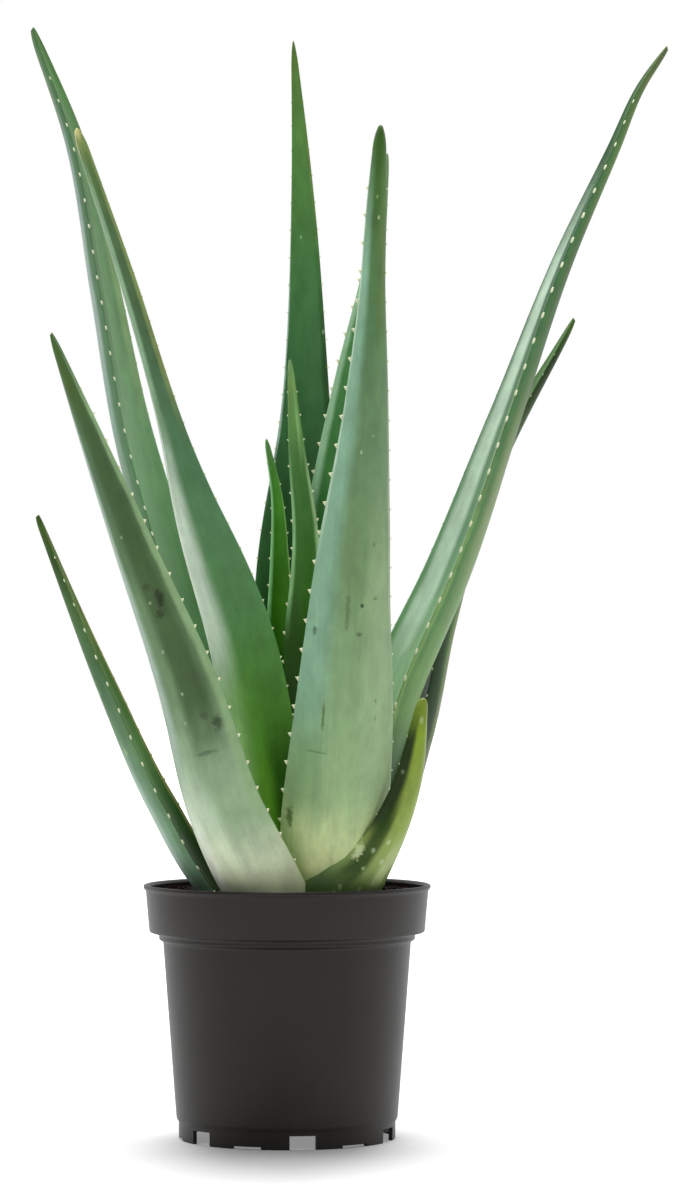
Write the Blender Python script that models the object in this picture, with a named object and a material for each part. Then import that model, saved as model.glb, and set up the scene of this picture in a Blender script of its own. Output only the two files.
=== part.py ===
"""Potted aloe: a rosette of twelve toothed leaves on a short stem, in potting mix, in a
black moulded nursery pot.  Metres, +Z up, standing on z = 0."""

import math

import bmesh
import bpy
import numpy as np
from mathutils import Matrix, Vector

MM = 0.001
GAP = 0.3 * MM  # air kept between pieces that touch
LEAF_GAP = 0.4 * MM  # the same between leaves, whose faces are curved

# The plant's own frame has its origin on the pot's axis. It is moved sideways so that the
# middle of the whole plant's box, on the surface it stands on, is the object's origin.
POT_AXIS = Vector((-27.0, 2.5, 0.0)) * MM

# --- pot: a 13 cm nursery pot -------------------------------------------------------------
POT_HEIGHT = 115.0 * MM
POT_SIDES = 48
LIP_RADIUS = 65.2 * MM  # thin lip round the mouth
LIP_HEIGHT = 1.8 * MM
BAND_TOP_RADIUS = 64.3 * MM  # wide band under the lip
BAND_LOW_RADIUS = 62.6 * MM
BAND_LOW_Z = 94.0 * MM
BODY_TOP_RADIUS = 56.6 * MM
BODY_TOP_Z = 91.2 * MM
BODY_LOW_RADIUS = 50.3 * MM
BODY_LOW_Z = 10.6 * MM
WALL = 1.5 * MM
FLOOR_TOP_Z = 10.2 * MM
FOOT_TOP_Z = 8.6 * MM  # underside of the floor
FOOT_RADIUS = 49.1 * MM
FOOT_WALL = 1.8 * MM
NOTCHES = 6
NOTCH_TURN = 9.0  # degrees from the front to the first notch's middle
NOTCH_ANGLE = 14.0  # degrees of the foot that each notch takes
NOTCH_HEIGHT = 6.2 * MM
PAD_ANGLE = 15.0  # degrees of each low pad, one on each side of a notch
PAD_STEP = 1.2 * MM  # what the foot between two pads is raised by
SECTOR_STEPS = 4  # facets along each notch
DRAIN_RADIUS = 4.5 * MM
DRAIN_RING_RADIUS = 36.0 * MM
DRAIN_SIDES = 12

# --- soil and stem ------------------------------------------------------------------------
SOIL_TOP_Z = 112.8 * MM  # under the plant
SOIL_EDGE_Z = 112.2 * MM  # by the wall, where it is uneven
SOIL_RELIEF = 0.7 * MM
SOIL_WAVES = (310.0, 270.0)  # of the relief, in radians per metre
SOIL_RING_SHARES = (0.86, 0.72)  # of the mouth's radius, where the edge meets the mound
SLAB_LOW_Z = 60 * MM  # the block that trims the leaves' feet level with the soil
SLAB_SIDES = 12
STEM_RADIUS = 12.0 * MM
STEM_TOP_RADIUS = 7.0 * MM
STEM_LOW_Z = 84.0 * MM
STEM_SHOULDER_Z = 116.0 * MM
STEM_TOP_Z = 132.0 * MM
STEM_SIDES = 20

# --- leaves -------------------------------------------------------------------------------
STATIONS = (0, 0.05, 0.1, 0.16, 0.23, 0.31, 0.4, 0.49, 0.58, 0.67, 0.76, 0.85, 0.92, 0.97)
UPPER_ROWS = (-0.84, -0.45, 0.0, 0.45, 0.84)  # shares of half the width
LOWER_ROWS = (-0.82, -0.45, 0.0, 0.45, 0.82)
MARGIN = 1.1 * MM  # thickness of the hard edge
CLASP = 0.5  # how strongly each leaf's foot curls round the stem
CLASP_END = 0.18  # share of the length where the foot has opened to a blade
BELLY_POWER = 2.3  # how square the thick lower face is across the blade
TAPER_POWER = 0.75  # how slowly the thickness follows the width to the tip
SLOPE_STEP = 0.01  # share of the length over which the blade's direction is read
TOOTH_STEP = 13.0 * MM
TOOTH_BASE = 4.0 * MM
TOOTH_HEIGHT = 2.0 * MM
TOOTH_START = 0.14  # no teeth on the clasping foot
TOOTH_END = 0.95
TOOTH_LEAN = 0.25  # towards the tip and the upper face
TOOTH_CLEAR = 0.004  # no other point of the margin is nearer to a tooth's foot
FULL_TOOTH_WIDTH = 18.0 * MM  # teeth get smaller and closer where the blade is narrower
LEAST_TOOTH = 0.35

# Each leaf has its midrib's route from the stem to the tip, in millimetres from the pot's
# axis, its width at equal steps of its length, its thickness, how far its margins stand up
# beside the channel as a share of half the width, the compass direction that its outer face
# looks in (0 is the front, 90 is +X), what that turns by to the tip, and the leaves that it
# wraps.
LEAVES = {
    "leaf_01": dict(
        route=[(-8, -2, 98), (-30, -8, 114), (-55, -14, 153), (-79, -20, 205), (-111, -28, 282)],
        widths=(24, 25, 21, 15, 8, 2), thick=9, cup=0.2, facing=-99, twist=0,
        wraps=("leaf_02", "leaf_03"), colour=(0.05, 0.16, 0.09)),
    "leaf_02": dict(
        route=[(-2, -8, 92), (-11, -29, 112), (-28, -42, 149), (-44, -56, 205), (-66, -76, 265),
               (-100, -105, 358)],
        widths=(46, 41, 34, 24, 14, 2), thick=15, cup=0.2, facing=-32, twist=0,
        wraps=("leaf_05", "leaf_04", "leaf_03", "leaf_08"), colour=(0.22, 0.33, 0.2)),
    "leaf_03": dict(
        route=[(-6, 6, 108), (-20, 18, 153), (-49, 44, 245), (-73, 64, 325), (-86.5, 80, 392),
               (-101, 91, 462), (-123, 100, 520)],
        widths=(34, 38, 33, 25, 16, 4), thick=12, cup=0.22, facing=-118, twist=0,
        wraps=("leaf_04", "leaf_09", "leaf_11"), colour=(0.14, 0.3, 0.16)),
    "leaf_04": dict(
        route=[(-5, 0, 112), (-11, -2, 160), (-22, 4, 221), (-45, 16, 291), (-58, 25, 337),
               (-72, 34, 384), (-99, 48, 465)],
        widths=(30, 35, 30, 13, 8.5, 5), thick=11, cup=0.35, facing=-155, twist=10,
        wraps=("leaf_10", "leaf_11"), colour=(0.12, 0.28, 0.13)),
    "leaf_05": dict(
        route=[(10, -8, 102), (19, -21, 116), (22, -34, 148), (25.5, -42, 188), (29, -48, 248),
               (36, -52, 332), (39.3, -52, 400), (42, -52, 454)],
        widths=(46, 48, 47, 43, 37, 31, 23.5, 17, 11.5, 9, 5), thick=14, cup=0.2, facing=4,
        twist=0,
        wraps=("leaf_10", "leaf_12", "leaf_04", "leaf_06"), colour=(0.24, 0.38, 0.24)),
    "leaf_06": dict(
        route=[(6, 2, 104), (24, 6, 130), (51, 14, 208), (74, 22, 259), (100, 30, 330),
               (127, 40, 403), (151, 46, 456), (164, 50, 485), (177, 52, 504)],
        widths=(36, 42, 34, 21, 11, 2), thick=12, cup=0.3, facing=112, twist=0,
        wraps=("leaf_12", "leaf_09"), colour=(0.2, 0.36, 0.2)),
    "leaf_07": dict(
        route=[(6, 2, 94), (30, 8, 116), (57, 26, 181), (70, 40, 235), (91, 54, 299),
               (134, 68, 378)],
        widths=(30, 33, 28, 21, 12, 2), thick=10, cup=0.25, facing=112, twist=0,
        wraps=("leaf_05", "leaf_06", "leaf_08", "leaf_09"), colour=(0.05, 0.13, 0.06)),
    "leaf_08": dict(
        route=[(8, -14, 100), (28, -35, 113), (43, -38, 134), (54, -38, 160), (61, -38, 200)],
        widths=(48, 36, 23, 17, 12, 5), thick=9, cup=0.25, facing=34, twist=0,
        wraps=("leaf_05",), colour=(0.25, 0.34, 0.08)),
    "leaf_09": dict(
        route=[(0, 9, 106), (3, 26, 152), (3, 42, 245), (8, 50, 328), (8, 54, 386),
               (6, 58, 445), (2, 62, 508)],
        widths=(28, 36, 36, 21, 11.5, 2), thick=12, cup=0.25, facing=178, twist=0,
        wraps=("leaf_04", "leaf_12", "leaf_11"), colour=(0.06, 0.18, 0.1)),
    "leaf_10": dict(
        route=[(3, 5, 118), (7, 12, 171), (7, 15, 226), (8, 17, 272), (4, 19, 313), (1, 20, 355)],
        widths=(14, 17, 20, 14, 8.5, 2), thick=8, cup=0.3, facing=-165, twist=0,
        wraps=(), colour=(0.06, 0.2, 0.06)),
    "leaf_11": dict(
        route=[(-4, 6, 120), (-4, 16, 171), (-4, 23, 226), (-4, 27, 263), (-5, 29, 290),
               (-10, 31, 319)],
        widths=(12, 15, 16, 12, 7, 2), thick=7, cup=0.3, facing=-165, twist=0,
        wraps=("leaf_10",), colour=(0.04, 0.2, 0.02)),
    "leaf_12": dict(
        route=[(7, 6, 114), (16, 19, 171), (18, 27, 244), (23, 31, 302), (30, 33, 346),
               (39, 35, 394), (46, 37, 452)],
        widths=(16, 22, 27, 20, 12, 2), thick=10, cup=0.25, facing=165, twist=0,
        wraps=("leaf_10", "leaf_11"), colour=(0.08, 0.24, 0.14)),
}


def add_material(name, colour, roughness):
    material = bpy.data.materials.new(name)
    material.use_nodes = True
    shader = material.node_tree.nodes["Principled BSDF"]
    shader.inputs["Base Color"].default_value = (*colour, 1.0)
    shader.inputs["Roughness"].default_value = roughness
    shader.inputs["Metallic"].default_value = 0.0
    return material


def add_object(name, bm, material, parent):
    """Turn a bmesh into a smooth-shaded object with one material."""
    bmesh.ops.recalc_face_normals(bm, faces=bm.faces)
    mesh = bpy.data.meshes.new(name)
    bm.to_mesh(mesh)
    bm.free()
    mesh.shade_smooth()
    mesh.set_sharp_from_angle(angle=math.radians(35))
    if material:
        mesh.materials.append(material)
    piece = bpy.data.objects.new(name, mesh)
    piece.parent = parent
    bpy.context.scene.collection.objects.link(piece)
    return piece


def hide_cutter(cutter):
    cutter.hide_render = True
    cutter.display_type = "WIRE"


def cut(piece, cutter, solver="EXACT"):
    """Take the cutter out of the piece. The leaves need the MANIFOLD solver: the exact one
    leaves some of them open."""
    hide_cutter(cutter)
    modifier = piece.modifiers.new("cut " + cutter.name, "BOOLEAN")
    modifier.operation = "DIFFERENCE"
    modifier.solver = solver
    modifier.object = cutter


def settle(piece):
    """Apply the piece's cuts and drop the loose scraps that they leave."""
    evaluated = piece.evaluated_get(bpy.context.evaluated_depsgraph_get())
    bm = bmesh.new()
    bm.from_mesh(evaluated.to_mesh())
    evaluated.to_mesh_clear()
    piece.modifiers.clear()
    islands = []
    waiting = set(bm.verts)
    while waiting:
        island, edge = set(), {waiting.pop()}
        while edge:
            island |= edge
            edge = {e.other_vert(v) for v in edge for e in v.link_edges} - island
        waiting -= island
        islands.append(island)
    islands.sort(key=len)
    for scrap in islands[:-1]:
        bmesh.ops.delete(bm, geom=list(scrap), context="VERTS")
    bm.to_mesh(piece.data)
    bm.free()


def revolve(profile, sides):
    """A solid turned from (radius, z) points that run from the axis out and back to it."""
    bm = bmesh.new()
    rings = []
    for radius, z in profile:
        if radius == 0:
            rings.append([bm.verts.new((0, 0, z))] * sides)
            continue
        turns = [2 * math.pi * i / sides for i in range(sides)]
        rings.append([bm.verts.new((radius * math.sin(a), -radius * math.cos(a), z))
                      for a in turns])
    for ring, after in zip(rings, rings[1:]):
        for i in range(sides):
            j = (i + 1) % sides
            corners = (ring[i], ring[j], after[j], after[i])
            bm.faces.new(list(dict.fromkeys(corners)))
    return bm


def add_sector(bm, radii, degrees, heights):
    """Add a closed block that spans two radii, two compass directions and two heights."""
    start, end = degrees
    rows = []
    for i in range(SECTOR_STEPS + 1):
        a = math.radians(start + (end - start) * i / SECTOR_STEPS)
        rows.append([bm.verts.new((r * math.sin(a), -r * math.cos(a), z))
                     for r, z in ((radii[0], heights[0]), (radii[1], heights[0]),
                                  (radii[1], heights[1]), (radii[0], heights[1]))])
    for row, after in zip(rows, rows[1:]):
        for i in range(4):
            j = (i + 1) % 4
            bm.faces.new((row[i], row[j], after[j], after[i]))
    bm.faces.new(rows[0][::-1])
    bm.faces.new(rows[-1])


def inner_wall():
    """The pot's inner face from the floor to the mouth, as (radius, z) points."""
    return [
        (BODY_LOW_RADIUS - WALL - 1.2 * MM, FLOOR_TOP_Z),
        (BODY_LOW_RADIUS - WALL, FLOOR_TOP_Z + 1.6 * MM),
        (BODY_TOP_RADIUS - WALL, BODY_TOP_Z + 1.2 * MM),
        (BAND_LOW_RADIUS - WALL, BAND_LOW_Z + 2.2 * MM),
        (BAND_TOP_RADIUS - WALL, POT_HEIGHT),
    ]


def build_pot(material, parent):
    """Thin-walled pot with a stepped rim band, a notched foot and drain holes."""
    outside = [
        (0, FOOT_TOP_Z),
        (FOOT_RADIUS - FOOT_WALL, FOOT_TOP_Z),
        (FOOT_RADIUS - FOOT_WALL, 0),
        (FOOT_RADIUS, 0),
        (FOOT_RADIUS, FOOT_TOP_Z),
        (BODY_LOW_RADIUS - 0.5 * MM, FOOT_TOP_Z + 0.6 * MM),
        (BODY_LOW_RADIUS, BODY_LOW_Z),
        (BODY_TOP_RADIUS, BODY_TOP_Z),
        (BODY_TOP_RADIUS + 1.6 * MM, BODY_TOP_Z + 0.9 * MM),
        (BAND_LOW_RADIUS - 0.6 * MM, BAND_LOW_Z - 0.5 * MM),
        (BAND_LOW_RADIUS, BAND_LOW_Z),
        (BAND_TOP_RADIUS, POT_HEIGHT - LIP_HEIGHT - 0.3 * MM),
        (LIP_RADIUS, POT_HEIGHT - LIP_HEIGHT),
        (LIP_RADIUS, POT_HEIGHT - 0.5 * MM),
        (LIP_RADIUS - 0.6 * MM, POT_HEIGHT),
    ]
    pot = add_object("pot", revolve(outside + inner_wall()[::-1] + [(0, FLOOR_TOP_Z)],
                                    POT_SIDES), material, parent)

    cutters = bmesh.new()
    foot = (FOOT_RADIUS - 3 * FOOT_WALL, FOOT_RADIUS + FOOT_WALL)
    pitch = 360 / NOTCHES
    half_notch = NOTCH_ANGLE / 2
    for n in range(NOTCHES):
        middle = NOTCH_TURN + pitch * n
        add_sector(cutters, foot, (middle - half_notch, middle + half_notch),
                   (-MM, NOTCH_HEIGHT))
        step = (middle + half_notch + PAD_ANGLE, middle + pitch - half_notch - PAD_ANGLE)
        add_sector(cutters, foot, step, (-MM, PAD_STEP))
        a = math.radians(middle)
        centre = Vector((DRAIN_RING_RADIUS * math.sin(a), -DRAIN_RING_RADIUS * math.cos(a),
                         FLOOR_TOP_Z))
        bmesh.ops.create_cone(cutters, cap_ends=True, segments=DRAIN_SIDES,
                              radius1=DRAIN_RADIUS, radius2=DRAIN_RADIUS,
                              depth=4 * (FLOOR_TOP_Z - FOOT_TOP_Z),
                              matrix=Matrix.Translation(centre))
    cut(pot, add_object("pot_cutter", cutters, material, parent))


def build_soil(material, parent):
    """Potting mix that fills the pot to just under the lip, with a plain hole for the stem."""
    wall = [(radius - GAP, z) for radius, z in inner_wall()]
    low, rim = wall[0], wall[-1]
    slope = (rim[0] - wall[-2][0]) / (rim[1] - wall[-2][1])
    edge = rim[0] - slope * (rim[1] - SOIL_EDGE_Z)
    hole = STEM_RADIUS + GAP
    profile = [(0, low[1] + GAP), (low[0], low[1] + GAP)]
    profile += [(radius, z + GAP) for radius, z in wall[1:-1]]
    outer, inner = SOIL_RING_SHARES
    profile += [(edge, SOIL_EDGE_Z), (outer * edge, SOIL_EDGE_Z), (inner * edge, SOIL_TOP_Z),
                (hole, SOIL_TOP_Z), (hole, STEM_LOW_Z - GAP), (0, STEM_LOW_Z - GAP)]
    bm = revolve(profile, POT_SIDES)
    for vert in bm.verts:
        if vert.co.z == np.float32(SOIL_EDGE_Z):
            wave = math.sin(SOIL_WAVES[0] * vert.co.x) * math.cos(SOIL_WAVES[1] * vert.co.y)
            vert.co.z += SOIL_RELIEF * wave
    return add_object("soil", bm, material, parent)


def stem_profile(grow):
    """(radius, z) points of the stem, grown outwards by a clearance."""
    return [
        (0, STEM_LOW_Z - grow),
        (STEM_RADIUS + grow, STEM_LOW_Z - grow),
        (STEM_RADIUS + grow, STEM_SHOULDER_Z + grow),
        (STEM_TOP_RADIUS + grow, STEM_TOP_Z - 3 * MM + grow),
        (0.6 * STEM_TOP_RADIUS, STEM_TOP_Z + grow),
        (0, STEM_TOP_Z + grow),
    ]


def through(stations, values, t):
    """A smooth curve through values that are given at stations, read at t."""
    stations, values = np.asarray(stations, float), np.asarray(values, float)
    slopes = np.gradient(values, stations, axis=0)
    i = int(np.clip(np.searchsorted(stations, t) - 1, 0, len(stations) - 2))
    step = stations[i + 1] - stations[i]
    u = (t - stations[i]) / step
    return ((2 * u**3 - 3 * u**2 + 1) * values[i] + (u**3 - 2 * u**2 + u) * step * slopes[i]
            + (3 * u**2 - 2 * u**3) * values[i + 1] + (u**3 - u**2) * step * slopes[i + 1])


class Leaf:
    """The form of one leaf, read at t from 0 at the stem to 1 at the tip."""

    def __init__(self, route, widths, thick, cup, facing, twist, **_):
        self.route = np.array(route) * MM
        steps = np.linalg.norm(np.diff(self.route, axis=0), axis=1)
        self.length = steps.sum()
        self.stations = np.r_[0, np.cumsum(steps)] / self.length
        self.widths = np.array(widths) * MM
        self.thick = thick * MM
        self.cup = cup
        self.facing = facing
        self.twist = twist

    def centre(self, t):
        return Vector(through(self.stations, self.route, t))

    def width(self, t):
        return float(through(np.linspace(0, 1, len(self.widths)), self.widths, t))

    def thickness(self, t):
        share = self.width(t) / self.widths.max()
        return MARGIN + (self.thick - MARGIN) * share ** TAPER_POWER

    def frame(self, t):
        """Unit vectors across the blade, to the leaf's left margin, and out of its upper face."""
        ahead, behind = min(t + SLOPE_STEP, 1), max(t - SLOPE_STEP, 0)
        along = (self.centre(ahead) - self.centre(behind)).normalized()
        a = math.radians(self.facing + self.twist * t)
        inward = Vector((-math.sin(a), math.cos(a), 0))
        up = (inward - along * inward.dot(along)).normalized()
        return up.cross(along), up

    def point(self, t, across, face):
        """A point of the skin: across from -1 to 1, on the upper (1) or lower (-1) face."""
        side, up = self.frame(t)
        half = self.width(t) / 2
        clasp = max(0.0, 1 - t / CLASP_END) ** 2
        cup = self.cup + (CLASP - self.cup) * clasp
        height = cup * half * across**2
        if abs(across) == 1:
            height -= MARGIN / 2
        elif face < 0:
            belly = 1 - abs(across) ** BELLY_POWER
            height -= MARGIN + (self.thickness(t) - MARGIN) * belly
        return self.centre(t) + side * across * half + up * height

    def teeth(self):
        """Where each tooth stands on a margin: its middle as t, and its size."""
        at = TOOTH_START * self.length
        found = []
        while at < TOOTH_END * self.length:
            t = at / self.length
            size = min(1.0, LEAST_TOOTH + self.width(t) / FULL_TOOTH_WIDTH)
            found.append((t, size))
            at += TOOTH_STEP * (1 + size) / 2
        return found

    def margin(self, across):
        """Points of one margin as (t, place), with a three-point tooth at each of its places."""
        spans = []
        for t, size in self.teeth():
            reach = TOOTH_BASE * size / 2 / self.length
            spans.append((t - reach, t, t + reach, size))
        points = [(t, self.point(t, across, 0)) for t in STATIONS
                  if not any(s[0] - TOOTH_CLEAR < t < s[2] + TOOTH_CLEAR for s in spans)]
        for start, t, end, size in spans:
            side, up = self.frame(t)
            apex = self.point(t + TOOTH_LEAN * (end - t), across, 0)
            apex += (side * across + TOOTH_LEAN * up).normalized() * TOOTH_HEIGHT * size
            points += [(start, self.point(start, across, 0)), (t, apex),
                       (end, self.point(end, across, 0))]
        return sorted(points, key=lambda p: p[0])

    def row(self, across, face):
        return [(t, self.point(t, across, face)) for t in STATIONS]


def stitch(bm, left, right):
    """Triangles between two rows of (t, vertex) that start and end at the same t."""
    i = j = 0
    while i < len(left) - 1 or j < len(right) - 1:
        go_left = j == len(right) - 1 or (
            i < len(left) - 1
            and left[i][0] + left[i + 1][0] <= right[j][0] + right[j + 1][0])
        if go_left:
            bm.faces.new((left[i][1], left[i + 1][1], right[j][1]))
            i += 1
        else:
            bm.faces.new((left[i][1], right[j + 1][1], right[j][1]))
            j += 1


def leaf_mesh(leaf, grow=0.0):
    """One closed leaf. Grown, it is the cutter that clears a place for it in its neighbours."""
    rows = [leaf.margin(-1)]
    rows += [leaf.row(s, 1) for s in UPPER_ROWS]
    rows += [leaf.margin(1)]
    rows += [leaf.row(s, -1) for s in LOWER_ROWS[::-1]]
    bm = bmesh.new()
    rows = [[(t, bm.verts.new(place)) for t, place in row] for row in rows]
    for row, after in zip(rows, rows[1:] + rows[:1]):
        stitch(bm, row, after)
    bm.faces.new([row[0][1] for row in rows])
    tip = bm.verts.new(leaf.centre(1))
    for row, after in zip(rows, rows[1:] + rows[:1]):
        bm.faces.new((row[-1][1], after[-1][1], tip))
    bmesh.ops.recalc_face_normals(bm, faces=bm.faces)
    bmesh.ops.triangulate(bm, faces=bm.faces)
    if grow:
        bm.normal_update()
        moves = [(vert, vert.normal * grow) for vert in bm.verts]
        for vert, move in moves:
            vert.co += move
    return bm


def build_leaves(parent, stem_cutter, soil_cutter):
    """The rosette: each leaf is cut clear of the stem, the soil and the leaves it wraps."""
    cutters = {}
    for name, form in LEAVES.items():
        bm = leaf_mesh(Leaf(**form), LEAF_GAP)
        cutters[name] = add_object(name + "_cutter", bm, None, parent)
        hide_cutter(cutters[name])
    for name, form in LEAVES.items():
        material = add_material(name + "_skin", form["colour"], 0.45)
        piece = add_object(name, leaf_mesh(Leaf(**form)), material, parent)
        cut(piece, stem_cutter, "MANIFOLD")
        cut(piece, soil_cutter, "MANIFOLD")
        for inner in form["wraps"]:
            cut(piece, cutters[inner], "MANIFOLD")
        settle(piece)
    for cutter in (*cutters.values(), stem_cutter, soil_cutter):
        bpy.data.objects.remove(cutter, do_unlink=True)


def main():
    for thing in list(bpy.data.objects):
        bpy.data.objects.remove(thing, do_unlink=True)
    parent = bpy.data.objects.new("plant", None)
    parent.location = POT_AXIS
    bpy.context.scene.collection.objects.link(parent)

    build_pot(add_material("moulded_polypropylene", (0.025, 0.023, 0.021), 0.5), parent)
    build_soil(add_material("potting_mix", (0.035, 0.014, 0.01), 0.95), parent)
    stem_skin = add_material("stem_skin", (0.2, 0.24, 0.1), 0.7)
    add_object("stem", revolve(stem_profile(0), STEM_SIDES), stem_skin, parent)

    stem_cutter = add_object("stem_cutter", revolve(stem_profile(GAP), STEM_SIDES), stem_skin,
                             parent)
    slab_top = SOIL_TOP_Z + GAP
    slab = [(0, SLAB_LOW_Z), (LIP_RADIUS, SLAB_LOW_Z), (LIP_RADIUS, slab_top), (0, slab_top)]
    soil_cutter = add_object("soil_cutter", revolve(slab, SLAB_SIDES), stem_skin, parent)
    build_leaves(parent, stem_cutter, soil_cutter)


main()
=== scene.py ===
"""Potted aloe: a rosette of toothed leaves in a black moulded nursery pot, on a pale floor."""

import math

import bmesh
import bpy
import numpy as np
from mathutils import Matrix, Vector


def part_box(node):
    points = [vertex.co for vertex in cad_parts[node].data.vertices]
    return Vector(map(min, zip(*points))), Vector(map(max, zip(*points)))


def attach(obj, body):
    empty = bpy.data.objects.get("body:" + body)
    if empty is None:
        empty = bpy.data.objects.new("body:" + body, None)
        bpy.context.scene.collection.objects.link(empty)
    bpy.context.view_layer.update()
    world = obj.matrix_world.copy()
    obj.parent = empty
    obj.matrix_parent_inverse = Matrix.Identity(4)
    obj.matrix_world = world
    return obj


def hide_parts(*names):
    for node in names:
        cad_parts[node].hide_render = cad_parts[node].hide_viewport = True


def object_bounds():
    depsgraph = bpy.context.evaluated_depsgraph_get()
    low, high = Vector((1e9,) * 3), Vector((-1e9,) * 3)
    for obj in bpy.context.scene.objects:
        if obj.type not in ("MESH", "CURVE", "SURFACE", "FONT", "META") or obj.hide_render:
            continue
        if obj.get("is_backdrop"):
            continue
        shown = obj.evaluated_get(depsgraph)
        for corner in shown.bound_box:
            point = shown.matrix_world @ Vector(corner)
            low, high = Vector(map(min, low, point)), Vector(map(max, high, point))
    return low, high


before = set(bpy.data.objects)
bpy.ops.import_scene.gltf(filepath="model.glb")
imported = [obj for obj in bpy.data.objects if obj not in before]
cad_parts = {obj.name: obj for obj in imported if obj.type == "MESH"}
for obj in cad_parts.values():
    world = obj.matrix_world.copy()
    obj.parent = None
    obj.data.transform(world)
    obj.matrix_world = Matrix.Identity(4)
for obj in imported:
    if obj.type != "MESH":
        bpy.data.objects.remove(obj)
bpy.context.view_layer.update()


# --- Studio: a pale floor in an evenly lit white room ---
# The plant stands on a matt white sweep. The room is white behind and beside it and darker
# behind the camera, so that the black pot gets pale edges and a dark middle.

MM = 0.001
SENSOR_MM = 36.0
LENS_MM = 125.4
CAMERA_MM = (24, -1900, 221)  # from the pot's axis on the floor
AIM_MM = (24, 0, 244)
FLOOR_RADIUS = 12.0
SHADOW_SHIFT = (0, -0.05, 0)  # the pot's shadow lies before its foot
SHADOW_SHAPE = (1.9, 0.85, 1.0)  # and is longer from back to front than it is wide

pot_low, pot_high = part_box("pot")
pot_axis = Vector(((pot_low.x + pot_high.x) / 2, (pot_low.y + pot_high.y) / 2, 0.0))


def linear(hex_colour):
    """An sRGB hex colour as linear red, green, blue and alpha."""
    shares = [int(hex_colour[i:i + 2], 16) / 255 for i in (1, 3, 5)]
    return [c / 12.92 if c <= 0.04045 else ((c + 0.055) / 1.055) ** 2.4 for c in shares] + [1.0]


def set_node(node, settings=None, links=None, stops=()):
    """Give a node its settings, input values, links from other nodes and colour stops."""
    for key, value in (settings or {}).items():
        if isinstance(key, str) and hasattr(node, key):
            setattr(node, key, value)
        else:
            node.inputs[key].default_value = value
    for key, socket in (links or {}).items():
        node.id_data.links.new(socket, node.inputs[key])
    for n, (position, colour) in enumerate(stops):
        elements = node.color_ramp.elements
        stop = elements[n] if n < len(elements) else elements.new(1.0)
        stop.position = position
        stop.color = linear(colour)
    return node


def add_node(tree, kind, settings=None, links=None, stops=()):
    """Add a node with its settings, links and colour stops."""
    return set_node(tree.nodes.new("ShaderNode" + kind), settings, links, stops)


SMOOTH = {"interpolation_type": "SMOOTHSTEP"}  # a range that eases in and out


def new_material(name):
    """A material with only a Principled shader, as (material, tree, shader)."""
    material = bpy.data.materials.new(name)
    material.use_nodes = True
    tree = material.node_tree
    return material, tree, tree.nodes["Principled BSDF"]


def add_object(name, bm, *materials):
    """Turn a bmesh into a smooth-shaded object."""
    mesh = bpy.data.meshes.new(name)
    bm.to_mesh(mesh)
    bm.free()
    for material in materials:
        mesh.materials.append(material)
    piece = bpy.data.objects.new(name, mesh)
    bpy.context.scene.collection.objects.link(piece)
    mesh.shade_smooth()
    return piece


camera = bpy.data.objects.new("camera", bpy.data.cameras.new("camera"))
camera.data.sensor_width = SENSOR_MM
camera.data.lens = LENS_MM
camera.location = pot_axis + Vector(CAMERA_MM) * MM
sight = pot_axis + Vector(AIM_MM) * MM - camera.location
camera.rotation_euler = sight.to_track_quat("-Z", "Y").to_euler()
bpy.context.scene.collection.objects.link(camera)
bpy.context.scene.camera = camera

floor_mesh = bmesh.new()
bmesh.ops.create_circle(floor_mesh, cap_ends=True, segments=96, radius=FLOOR_RADIUS)
sweep, tree, shader = new_material("matt_white_sweep")
# White emulsion on board: no gloss, and a faint roller grain.
grain = add_node(tree, "TexNoise", {"Scale": 40.0, "Detail": 3.0})
tone = add_node(tree, "ValToRGB", links={"Fac": grain.outputs["Fac"]},
                stops=[(0.0, "#cfcfcf"), (1.0, "#d4d4d4")])
# the sweep is lit from below all round the pot, so that it stays white to the horizon and
# only the shadow before the foot is left, and a little light shows through the foot's notches
spot = add_node(tree, "TexCoord")
shadow = add_node(tree, "VectorMath", {"operation": "SUBTRACT",
                                      1: pot_axis + Vector(SHADOW_SHIFT)},
                  {0: spot.outputs["Object"]})
long = add_node(tree, "VectorMath", {"operation": "MULTIPLY", 1: SHADOW_SHAPE},
                {0: shadow.outputs[0]})
away = add_node(tree, "VectorMath", {"operation": "LENGTH"}, {0: long.outputs[0]})
near = add_node(tree, "MapRange", {**SMOOTH, "From Min": 0.035, "From Max": 0.145, "To Max": 0.4},
                {"Value": away.outputs["Value"]})
rows = add_node(tree, "SeparateXYZ", links={0: spot.outputs["Object"]})
far = add_node(tree, "MapRange", {**SMOOTH, "From Min": 0.1, "From Max": 1.6, "To Max": 0.6},
               {"Value": rows.outputs["Y"]})
glow = add_node(tree, "Math", {"operation": "ADD"}, {0: near.outputs[0], 1: far.outputs[0]})
inside = add_node(tree, "VectorMath", {"operation": "DISTANCE", 1: pot_axis},
                  {0: spot.outputs["Object"]})
under = add_node(tree, "MapRange", {"From Min": 0.048, "From Max": 0.046, "To Max": 0.26},
                 {"Value": inside.outputs["Value"]})
lit = add_node(tree, "Math", {"operation": "MAXIMUM"}, {0: glow.outputs[0], 1: under.outputs[0]})
set_node(shader, {"Roughness": 0.9, "Specular IOR Level": 0.1,
                  "Emission Color": linear("#ffffff")},
         {"Base Color": tone.outputs["Color"], "Emission Strength": lit.outputs[0]})
floor = add_object("floor", floor_mesh, sweep)
floor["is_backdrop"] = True

world = bpy.data.worlds.new("white_room")
bpy.context.scene.world = world
world.use_nodes = True
tree = world.node_tree
ray = add_node(tree, "TexCoord")
parts = add_node(tree, "SeparateXYZ", links={0: ray.outputs["Generated"]})
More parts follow.
